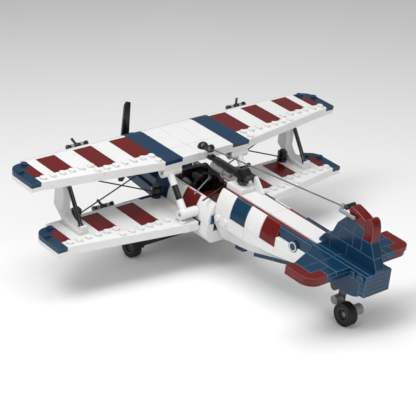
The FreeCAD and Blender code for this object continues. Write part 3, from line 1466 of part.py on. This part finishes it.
def make_undercarriage():
    """Main legs, axle beam and wheels, and the tail wheel on its side arm."""
    axle_y, axle_z = named["main_axle_y"], -named["main_axle_drop"]
    half_track = named["wheel_track"] / 2
    half_width = named["wheel_width"] / 2
    inner = half_track - half_width - part_gap
    beam_low = axle_z + bar_radius + gap * 2
    beam_high = beam_low + plates(2)
    beam_y = (axle_y - 1, axle_y + pitch - 1)
    frame = [span_box("gear_beam", (-inner, inner), beam_y, (beam_low, beam_high))]
    for side in BOTH_SIDES:
        x0, x1 = side_pair(side, pitch + gap, studs(2) - gap)
        leg = [
            (studs(3) + gap, BELLY_BOTTOM),
            (studs(4), BELLY_BOTTOM),
            (beam_y[1], beam_high),
            (beam_y[0], beam_high),
        ]
        frame.append(profile("gear_leg" + str(side), "YZ_Plane", leg, x0, x1))
        lug_y = (axle_y - plate, axle_y + plate)
        lug = span_box("gear_lug" + str(side), side_pair(side, inner - plates(2), inner), lug_y,
                       (axle_z - bar_radius * 1.5, beam_low))
        low, high = side_pair(side, inner - plates(2), half_track + half_width - plate / 2)
        room = rod("axle_room" + str(side), "X", low, axle_y, axle_z, bar_radius, high - low)
        frame.append(cut("gear_lug_piece" + str(side), lug, [room]))
        frame.append(rod("axle_pin" + str(side), "X", low, axle_y, axle_z, bar_radius, high - low))
    node("main_gear_frame", frame)
    make_wheel("port", half_track, axle_y, axle_z)
    make_wheel("starboard", -half_track, axle_y, axle_z)
    tail_y, tail_z = TAIL_AXLE, -named["tail_axle_drop"]
    wheel_near = plate / 2
    wheel_far = wheel_near + named["wheel_width"]
    make_wheel("tail", wheel_near + half_width, tail_y, tail_z)
    make_tail_arm(wheel_near)


def make_tail_arm(wheel_near):
    """The black bracket under the tail and the grey arm, bush, axle and end drum beside the tail wheel."""
    tail_y, tail_z = TAIL_AXLE, -named["tail_axle_drop"]
    bottom = DECK - plates(6.3)
    bush_y = tail_y - named["wheel_radius"] - pitch / 2
    bush_z = tail_z + pitch * 0.55
    arm_far = wheel_near - part_gap
    arm_near = arm_far - plate * 0.9
    bracket = [
        span_box("tail_bracket_plate", (-pitch / 2, pitch - gap), (bush_y - plate, tail_y), (bottom - plate, bottom)),
        rod("tail_bracket_front", "X", -pitch / 2, bush_y + plate * 0.2, bottom - plate, plate, pitch * 1.5 - gap),
        rod("tail_bracket_back", "X", -pitch / 2, tail_y - plate, bottom - plate, plate * 0.8, pitch * 1.5 - gap),
        span_box("tail_bracket_lug", (-pitch / 2, arm_near - gap), (bush_y - plate * 0.8, bush_y + plate * 0.8),
                 (bush_z - plate * 0.6, bottom)),
    ]
    node("tail_bracket", [fuse("tail_bracket_piece", bracket)])
    drum_low = -studs(1.1)
    arm = [
        rod("tail_arm_bush", "X", arm_near, bush_y, bush_z, plate, pitch * 0.8),
        rod("tail_arm_eye", "X", arm_near, tail_y, tail_z, plate * 0.8, arm_far - arm_near),
        rod_between("tail_arm_bar", ((arm_near + arm_far) / 2, bush_y, bush_z),
                    ((arm_near + arm_far) / 2, tail_y, tail_z), plate * 0.42),
        rod("tail_axle", "X", drum_low, tail_y, tail_z, bar_radius,
            wheel_near + named["wheel_width"] - plate / 2 - drum_low),
        rod("tail_axle_drum", "X", drum_low, tail_y, tail_z, pitch / 2, arm_near - drum_low),
    ]
    node("tail_arm", [fuse("tail_arm_piece", arm)])


# ---- gun ----

def make_gun():
    """The twin gun: fixed foot, turning head, and the guns that tip in it."""
    y = studs(11)
    floor = DECK + plate
    thin = plate / 2
    foot = rod("gun_foot_disc", "Z", zero, y, floor, plate * 0.95, thin)
    pin = rod("gun_foot_pin", "Z", zero, y, floor + thin, bar_radius * 0.7, plate * 0.45)
    node("gun_foot", [fuse("gun_foot_piece", [foot, pin])])
    head_low = floor + thin + part_gap
    outer = pitch * 0.55
    inner = outer - plate * 0.25
    disc = rod("gun_head_disc", "Z", zero, y, head_low, outer, plate * 0.5)
    pivot_z = floor + plates(1.9)
    cheeks = []
    for side in BOTH_SIDES:
        x = side_pair(side, inner, outer)
        cheeks.append(span_box("gun_cheek" + str(side), x, (y - plate / 2, y + plate / 2),
                               (head_low, pivot_z + plate / 2)))
    room = rod("gun_pin_room", "Z", zero, y, floor, bar_radius * 0.7 + fit, thin + plate)
    axle = bar_radius * 0.6
    bore = rod("gun_trunnion_room", "X", -outer - gap, y, pivot_z, axle + fit, outer * 2 + gap * 2)
    head = fuse("gun_head_solid", [disc] + cheeks)
    node("gun_head", [cut("gun_head_piece", head, [room, bore])])
    half = inner - part_gap
    back = y + pitch * 0.7
    block_outline = [
        (y - pitch / 2, pivot_z - plate * 0.4),
        (back, pivot_z - plate * 0.4),
        (back, pivot_z + plate),
        (y + pitch * 0.2, pivot_z + plates(2.1)),
        (y - pitch / 4, pivot_z + plates(1.9)),
        (y - pitch / 2, pivot_z + plate),
    ]
    block = [
        profile("gun_block", "YZ_Plane", block_outline, -half, half),
        rod("gun_trunnion", "X", -outer, y, pivot_z, axle, outer * 2),
    ]
    muzzle = y - studs(4.7)
    bore_radius = plate * 0.4
    for side in BOTH_SIDES:
        x = half * 0.5 * side
        block.append(rod("gun_barrel" + str(side), "Y", x, muzzle, pivot_z, bore_radius, y - muzzle))
        block.append(rod("gun_muzzle" + str(side), "Y", x, muzzle, pivot_z, plate * 0.5, plate))
        block.append(rod("gun_jacket" + str(side), "Y", x, muzzle + plates(3), pivot_z, plate * 0.5, plates(5)))
    block.append(span_box("gun_rail", (-half * 0.5, half * 0.5), (muzzle + plates(2), y),
                          (pivot_z + plate * 0.3, pivot_z + plate * 0.7)))
    node("gun_barrels", [fuse("gun_barrels_piece", block)])
    drum_z = pivot_z - plate * 1.55
    drum = [
        rod("gun_drum_body", "Y", zero, y - studs(4.2), drum_z, plate, studs(1.7)),
        rod("gun_drum_end", "Y", zero, y - studs(2.6), drum_z, plate * 0.62, studs(1)),
    ]
    node("gun_drum", [fuse("gun_drum_piece", drum)])


# ---- build, stand on the wheels, check and write ----

def stand_on_wheels():
    """Tip the model nose up onto its wheels, with the origin under the middle of its outline."""
    rise = named["main_axle_drop"] - named["tail_axle_drop"]
    run = TAIL_AXLE - named["main_axle_y"]
    tilt = FreeCAD.Rotation(WAYS["X"], -math.degrees(math.atan2(rise.value, run.value)))
    for group in nodes.values():
        group.Placement = FreeCAD.Placement(FreeCAD.Vector(), tilt)
    document.recompute()
    outline = FreeCAD.BoundBox()
    for group in nodes.values():
        outline.add(group.Shape.optimalBoundingBox(True, False))
    middle_y = (outline.YMin + outline.YMax) / 2
    for group in nodes.values():
        group.Placement = FreeCAD.Placement(FreeCAD.Vector(0, -middle_y, -outline.ZMin), tilt)
    document.recompute()


def check_and_write():
    """Stop on any failed object or bad shape, then write one file for each node."""
    for item in document.Objects:
        for word in ("Invalid", "Error"):
            if word in item.State:
                raise RuntimeError(item.Name + " is " + word)
    os.makedirs("parts", exist_ok=True)
    for name, group in nodes.items():
        if group.Shape.isNull() or not group.Shape.isValid():
            raise RuntimeError(name + " has no valid shape")
        group.Shape.exportStep(os.path.join("parts", name + ".step"))


make_wings()
make_side_panels(*make_spine())
make_belly()
make_cockpit()
make_cowl()
make_propeller()
make_cabane()
make_interplane_struts()
make_wires()
make_edge_clips()
make_backstay()
make_tail()
make_undercarriage()
make_gun()
document.recompute()
stand_on_wheels()
check_and_write()
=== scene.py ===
import bpy
import json
import math
from mathutils import Matrix, Vector

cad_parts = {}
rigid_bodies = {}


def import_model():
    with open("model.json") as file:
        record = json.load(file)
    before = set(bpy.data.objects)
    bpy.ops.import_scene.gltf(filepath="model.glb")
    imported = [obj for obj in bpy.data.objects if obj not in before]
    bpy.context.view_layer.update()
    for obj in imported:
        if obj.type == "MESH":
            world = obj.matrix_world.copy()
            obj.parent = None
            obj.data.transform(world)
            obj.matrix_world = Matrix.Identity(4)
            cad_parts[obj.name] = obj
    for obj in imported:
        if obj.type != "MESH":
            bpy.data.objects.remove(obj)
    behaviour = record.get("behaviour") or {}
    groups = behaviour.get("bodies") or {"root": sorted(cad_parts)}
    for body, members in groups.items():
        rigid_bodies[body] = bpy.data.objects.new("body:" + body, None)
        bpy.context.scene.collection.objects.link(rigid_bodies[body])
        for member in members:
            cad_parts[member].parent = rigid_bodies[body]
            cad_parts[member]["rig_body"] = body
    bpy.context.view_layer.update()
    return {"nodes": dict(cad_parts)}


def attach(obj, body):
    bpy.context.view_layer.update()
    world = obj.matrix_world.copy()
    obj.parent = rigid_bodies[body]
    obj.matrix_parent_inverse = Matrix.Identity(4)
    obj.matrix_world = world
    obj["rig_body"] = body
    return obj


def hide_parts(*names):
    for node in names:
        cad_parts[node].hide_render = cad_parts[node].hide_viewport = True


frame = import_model()

# ---- wings ----
# Two wings of stacked plates: studded white plates below, smooth coloured tiles flush between studded wedge
# plates on top, and rounded pieces along the front. Every piece is injection-moulded plastic with a fine gloss.


def grain(nodes, links, place, scale, detail):
    """A noise texture fixed to the object's own coordinates."""
    texture = nodes.new("ShaderNodeTexNoise")
    texture.inputs["Scale"].default_value = scale
    texture.inputs["Detail"].default_value = detail
    links.new(place.outputs["Object"], texture.inputs["Vector"])
    return texture


def moulded_plastic(name, colour, roughness=0.2, tint_change=0.025, shine=0.3):
    """Glossy moulded plastic: a faintly cloudy colour, uneven polish and a very fine orange-peel surface."""
    noise_low, noise_high = 0.3, 0.7
    polish_change = 0.06
    material = bpy.data.materials.new(name)
    material.use_nodes = True
    nodes, links = material.node_tree.nodes, material.node_tree.links
    shader = nodes["Principled BSDF"]
    shader.inputs["IOR"].default_value = 1.5
    shader.inputs["Specular IOR Level"].default_value = shine
    shader.inputs["Coat Weight"].default_value = 0.06
    shader.inputs["Coat Roughness"].default_value = 0.05
    place = nodes.new("ShaderNodeTexCoord")
    cloud = grain(nodes, links, place, scale=60, detail=3)
    tint = nodes.new("ShaderNodeValToRGB")
    tint.color_ramp.elements[0].position = noise_low
    tint.color_ramp.elements[1].position = noise_high
    tint.color_ramp.elements[0].color = [part * (1 - tint_change) for part in colour] + [1]
    tint.color_ramp.elements[1].color = [min(1, part * (1 + tint_change)) for part in colour] + [1]
    links.new(cloud.outputs["Fac"], tint.inputs["Fac"])
    links.new(tint.outputs["Color"], shader.inputs["Base Color"])
    polish = grain(nodes, links, place, scale=260, detail=4)
    spread = nodes.new("ShaderNodeMapRange")
    spread.inputs["From Min"].default_value = noise_low
    spread.inputs["From Max"].default_value = noise_high
    spread.inputs["To Min"].default_value = roughness
    spread.inputs["To Max"].default_value = roughness + polish_change
    links.new(polish.outputs["Fac"], spread.inputs["Value"])
    links.new(spread.outputs["Result"], shader.inputs["Roughness"])
    peel = grain(nodes, links, place, scale=700, detail=2)
    bump = nodes.new("ShaderNodeBump")
    bump.inputs["Strength"].default_value = 0.06
    bump.inputs["Distance"].default_value = 0.00004
    links.new(peel.outputs["Fac"], bump.inputs["Height"])
    links.new(bump.outputs["Normal"], shader.inputs["Normal"])
    return material


def select_only(piece):
    """Make this the one selected and active object."""
    bpy.ops.object.select_all(action="DESELECT")
    piece.select_set(True)
    bpy.context.view_layer.objects.active = piece


def paint(piece, material):
    """Give the whole piece one material."""
    piece.data.materials.clear()
    piece.data.materials.append(material)


def softened(node, material, edge=0.0003, painted_edge_highlight=None):
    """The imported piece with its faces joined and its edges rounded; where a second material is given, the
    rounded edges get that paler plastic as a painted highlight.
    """
    same_point = 0.0000004
    flat_degrees, smooth_degrees, edge_degrees = 0.6, 32, 38
    source = frame["nodes"][node]
    piece = bpy.data.objects.new(node + "_moulded", source.data.copy())
    bpy.context.scene.collection.objects.link(piece)
    paint(piece, material)
    select_only(piece)
    bpy.ops.object.mode_set(mode="EDIT")
    bpy.ops.mesh.select_all(action="SELECT")
    bpy.ops.mesh.remove_doubles(threshold=same_point)
    bpy.ops.mesh.dissolve_limited(angle_limit=math.radians(flat_degrees))
    bpy.ops.object.mode_set(mode="OBJECT")
    bpy.ops.object.shade_smooth_by_angle(angle=math.radians(smooth_degrees))
    if edge:
        bevel = piece.modifiers.new("rounded_edges", "BEVEL")
        bevel.width = edge
        bevel.segments = 2
        bevel.limit_method = "ANGLE"
        bevel.angle_limit = math.radians(edge_degrees)
        bevel.use_clamp_overlap = True
        bevel.harden_normals = True
        # The rounded edges take the second, paler material: a painted highlight where light would catch them.
        if painted_edge_highlight:
            piece.data.materials.append(painted_edge_highlight)
            bevel.material = 1
        bpy.ops.object.modifier_apply(modifier=bevel.name)
    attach(piece, source["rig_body"])
    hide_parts(node)


white = moulded_plastic("white_plastic", (0.76, 0.76, 0.755), tint_change=0.01)
red = moulded_plastic("dark_red_plastic", (0.13, 0.0035, 0.004))
blue = moulded_plastic("dark_blue_plastic", (0.004, 0.034, 0.08))
# Paler, shinier copies of the dark red and dark blue plastic, laid on the rounded edges of those bricks as
# painted highlights.
red_edge = moulded_plastic("dark_red_painted_highlight", (0.24, 0.05, 0.05), shine=0.6)
blue_edge = moulded_plastic("dark_blue_painted_highlight", (0.06, 0.13, 0.22), shine=0.6)
for wing in ("upper_wing", "lower_wing"):
    softened(wing + "_base_plates", white)
    softened(wing + "_white_tiles", white)
    softened(wing + "_leading_edge", white)
    softened(wing + "_red_tiles", red, painted_edge_highlight=red_edge)
    softened(wing + "_blue_tiles", blue, painted_edge_highlight=blue_edge)

# ---- body ----
# The brick-built body: curved panels in white, blue and red bands down both sides, a narrow spine of smooth
# tiles, red and blue plates between them, and tapered shells below.

for node in ("side_panels_white", "spine_core", "spine_tiles", "belly_shells", "front_belly", "cockpit_walls"):
    softened(node, white)
softened("side_panels_red", red, painted_edge_highlight=red_edge)
for node in ("side_panels_blue", "keel_plates"):
    softened(node, blue, painted_edge_highlight=blue_edge)

# ---- round tiles on the rear sides ----
# A dark blue round tile lies flush in each side of the rear body. A plain white ring is printed on its face,
# so thin that it only shows as ink.

softened("round_side_tiles", blue, painted_edge_highlight=blue_edge)

# The model was measured level, and stands leaning back by this angle, moved by this many millimetres.
LEAN = 0.15176515532770313
SLIDE = Vector((0, -80.22373840870448, 92.23691760222945))


def on_model(x, y, z):
    """A place given in millimetres on the level model, moved to where it stands nose up on its wheels."""
    return (Matrix.Rotation(-LEAN, 3, "X") @ Vector((x, y, z)) + SLIDE) / 1000


def settle(piece):
    """Leave the object at the origin with its place in its mesh."""
    select_only(piece)
    bpy.ops.object.transform_apply(location=True, rotation=True, scale=True)


# The ring's radius, width and ink thickness are in metres, and the middle of the port tile's face in millimetres.
RING_OUT, RING_WIDE, INK = 0.0034, 0.0007, 0.00006
TILE_X, TILE_Y, TILE_Z = 15.2, 160, -21.6
for side, word in ((1, "port"), (-1, "starboard")):
    bpy.ops.object.select_all(action="DESELECT")
    spot = on_model(side * TILE_X, TILE_Y, TILE_Z)
    bpy.ops.mesh.primitive_cylinder_add(vertices=64, radius=RING_OUT, depth=INK, location=spot,
                                        rotation=(0, math.pi / 2, 0), end_fill_type="NGON")
    mark = bpy.context.active_object
    mark.name = "printed_ring_" + word
    bpy.ops.object.mode_set(mode="EDIT")
    bpy.ops.mesh.select_mode(type="FACE")
    bpy.ops.mesh.select_all(action="DESELECT")
    bpy.ops.object.mode_set(mode="OBJECT")
    for face in mark.data.polygons:
        face.select = abs(face.normal.z) > 0.9
    bpy.ops.object.mode_set(mode="EDIT")
    bpy.ops.mesh.inset(thickness=RING_WIDE, use_individual=True)
    bpy.ops.mesh.bridge_edge_loops()
    bpy.ops.object.mode_set(mode="OBJECT")
    settle(mark)
    paint(mark, white)
    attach(mark, "airframe")

# ---- cockpit ----
# Brown lining, a red seat, and a black panel with two grey drums on top. The control stick stands in front of
# the seat, with black levers to both sides. Small black pieces have finer edges than the large bricks.

brown = moulded_plastic("brown_plastic", (0.055, 0.024, 0.012))
black = moulded_plastic("black_plastic", (0.009, 0.009, 0.01), roughness=0.14, shine=0.5)
# A paler, shinier copy of the black plastic, laid on the rounded edges of the black pieces as a painted
# highlight.
black_edge = moulded_plastic("black_painted_highlight", (0.05, 0.05, 0.052), roughness=0.14, shine=0.7)
grey = moulded_plastic("light_grey_plastic", (0.25, 0.26, 0.27))
FINE_EDGE = 0.0002
softened("cockpit_lining", brown)
softened("seat", red, painted_edge_highlight=red_edge)
for node in ("instrument_panel", "control_stick", "cockpit_levers"):
    softened(node, black, edge=FINE_EDGE, painted_edge_highlight=black_edge)
softened("dial_barrels", grey)

# ---- engine cowl ----
# A dark blue core between side shells that taper in three steps, with smooth tiles on top. A round face closes
# the front, and the propeller shaft runs in it.

for node in ("cowl_core", "cowl_sides", "cowl_face"):
    softened(node, blue, painted_edge_highlight=blue_edge)

# ---- propeller ----
# Two black blades on a hub with a cross pin, on a shaft that runs in the cowl. The whole group turns as one
# body.

for node in ("propeller_blades", "propeller_hub"):
    softened(node, black, edge=FINE_EDGE, painted_edge_highlight=black_edge)

# ---- struts ----
# White struts with black axles through them stand near the body. White stanchions stand near the tips, with a
# slanted round black bar by each.

softened("cabane_struts", white)
softened("cabane_axles", black, edge=FINE_EDGE, painted_edge_highlight=black_edge)
WIDE_EDGE = 0.0004
softened("interplane_struts", white, edge=WIDE_EDGE)
softened("diagonal_bars", black, edge=FINE_EDGE, painted_edge_highlight=black_edge)

# ---- wires and fittings ----
# Taut dark cords run between black knobs on the wings, and a paler one runs back to the fin. Small black bars
# with grey sleeves lie along the leading edges.

dark_cord = moulded_plastic("dark_cord", (0.025, 0.025, 0.027), roughness=0.45)
pale_cord = moulded_plastic("grey_cord", (0.13, 0.13, 0.135), roughness=0.45)
softened("bracing_wires", dark_cord, edge=0)
softened("backstay_wire", pale_cord, edge=0)
for node in ("wire_knobs", "edge_clip_bars", "backstay_fittings"):
    softened(node, black, edge=FINE_EDGE, painted_edge_highlight=black_edge)
for node in ("edge_clip_ends", "fin_lever"):
    softened(node, grey)

# ---- tail ----
# A dark blue block carries the fin, built up from bricks, and two swept stabilisers. The stabilisers have red
# tips, and the back of the fin has red rudder pieces.

for node in ("tail_block", "stabilisers", "fin"):
    softened(node, blue, painted_edge_highlight=blue_edge)
for node in ("stabiliser_tips", "rudder"):
    softened(node, red, painted_edge_highlight=red_edge)

# ---- undercarriage ----
# A black beam on two legs with a wheel on each end, and a tail wheel on a grey arm that sits to one side.
# Every wheel is a matt rubber tyre on a black hub.

rubber = moulded_plastic("tyre_rubber", (0.012, 0.012, 0.012), roughness=0.55)
for node in ("main_gear_frame", "tail_bracket"):
    softened(node, black, edge=FINE_EDGE, painted_edge_highlight=black_edge)
softened("tail_arm", grey)
for place in ("port", "starboard", "tail"):
    softened("tyre_" + place, rubber)
    softened("wheel_hub_" + place, black, edge=FINE_EDGE, painted_edge_highlight=black_edge)

# ---- spokes on the wheel faces ----
# The outer face of each wheel has a boss ring, a rim ring and a ring at the edge, joined by six spokes. They
# are moulded with the hub and turn with it.

hub_plastic = moulded_plastic("hub_plastic", (0.05, 0.05, 0.053), roughness=0.25, shine=0.5)
SPOKES, SPOKE_LONG, SPOKE_WIDE, SPOKE_DEEP, SPOKE_EDGE = 6, 0.0023, 0.0005, 0.0007, 0.00012
BOSS_RING, RIM_RING, EDGE_RING, RING_THICK = 0.0023, 0.0044, 0.0051, 0.00036
SPOKE_MIDDLE = (RIM_RING + BOSS_RING) / 2
FACE_OUT = 0.0019
# Each wheel's outward side, 1 for port and -1 for starboard, and its middle in millimetres.
wheels = (
    ("port", 1, (43, 21, -81.6)),
    ("starboard", -1, (-43, 21, -81.6)),
    ("tail", 1, (4.8, 208, -53)),
)
for word, side, middle in wheels:
    parts = []
    face_x, face_y, face_z = on_model(*middle)
    face_x += side * FACE_OUT
    for radius in (RIM_RING, BOSS_RING, EDGE_RING):
        bpy.ops.object.select_all(action="DESELECT")
        bpy.ops.mesh.primitive_torus_add(major_radius=radius, minor_radius=RING_THICK, major_segments=48,
                                         minor_segments=10, location=(face_x, face_y, face_z),
                                         rotation=(0, math.pi / 2, 0))
        parts.append(bpy.context.active_object)
    for number in range(SPOKES):
        angle = math.tau * number / SPOKES
        spot = (face_x, face_y + math.cos(angle) * SPOKE_MIDDLE, face_z + math.sin(angle) * SPOKE_MIDDLE)
        bpy.ops.object.select_all(action="DESELECT")
        bpy.ops.mesh.primitive_cube_add(size=1, location=spot, rotation=(angle, 0, 0),
                                        scale=(SPOKE_DEEP, SPOKE_LONG, SPOKE_WIDE))
        parts.append(bpy.context.active_object)
        bpy.ops.object.mode_set(mode="EDIT")
        bpy.ops.mesh.select_all(action="SELECT")
        bpy.ops.mesh.bevel(offset=SPOKE_EDGE, segments=2)
        bpy.ops.object.mode_set(mode="OBJECT")
    for item in parts:
        item.select_set(True)
    bpy.context.view_layer.objects.active = parts[0]
    bpy.ops.object.join()
    spider = bpy.context.active_object
    spider.name = "wheel_spokes_" + word
    settle(spider)
    bpy.ops.object.shade_smooth_by_angle(angle=math.radians(35))
    paint(spider, hub_plastic)
    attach(spider, word + "_wheel")

# ---- gun ----
# A grey foot holds a black head that turns, and the twin black barrels tip in the head. A light grey drum
# hangs under the barrels.

dark_grey = moulded_plastic("dark_grey_plastic", (0.06, 0.065, 0.07))
softened("gun_foot", dark_grey)
for node in ("gun_head", "gun_barrels"):
    softened(node, black, edge=FINE_EDGE, painted_edge_highlight=black_edge)
softened("gun_drum", grey)

# ---- floor, light and camera ----
# A plain pale floor, three soft lamps that face the model from above, the front and the side, and one long
# lens. The Standard view transform keeps the white bricks white.

bpy.ops.object.select_all(action="DESELECT")
bpy.ops.mesh.primitive_plane_add(size=12, location=(0, 0, 0))
floor = bpy.context.active_object
floor.name = "studio_floor"
paper = bpy.data.materials.new("pale_paper")
paper.use_nodes = True
surface = paper.node_tree.nodes["Principled BSDF"]
surface.inputs["Base Color"].default_value = (0.9, 0.9, 0.9, 1)
surface.inputs["Roughness"].default_value = 0.9
paint(floor, paper)

world = bpy.data.worlds.new("studio_air")
world.use_nodes = True
air = world.node_tree.nodes["Background"]
air.inputs["Color"].default_value = (1, 1, 1, 1)
air.inputs["Strength"].default_value = 0.3
bpy.context.scene.world = world

TARGET = Vector((0.05826, 0.03614, 0.07444))


def stand(name, data, azimuth, elevation, distance):
    """A lamp or camera that faces the model from a direction in degrees."""
    turn, lift = math.radians(azimuth), math.radians(elevation)
    away = Vector((math.sin(turn) * math.cos(lift), -math.cos(turn) * math.cos(lift), math.sin(lift)))
    item = bpy.data.objects.new(name, data)
    item.location = TARGET + away * distance
    item.rotation_euler = away.to_track_quat("Z", "Y").to_euler()
    bpy.context.scene.collection.objects.link(item)
    return item


def soft_light(name, azimuth, elevation, distance, size, power):
    """A square lamp that faces the model."""
    lamp = bpy.data.lights.new(name, "AREA")
    lamp.size = size
    lamp.energy = power
    stand(name, lamp, azimuth, elevation, distance)


soft_light("key_light", 95, 55, 0.9, 0.4, 4)
soft_light("fill_light", 175, 30, 1.1, 0.7, 3)
soft_light("top_light", 0, 88, 1.0, 0.9, 6)

lens = bpy.data.cameras.new("camera")
lens.lens = 126.8
lens.sensor_width = 36
bpy.context.scene.camera = stand("camera", lens, azimuth=140.069, elevation=20.943, distance=0.99475)

bpy.context.scene.view_settings.view_transform = "Standard"
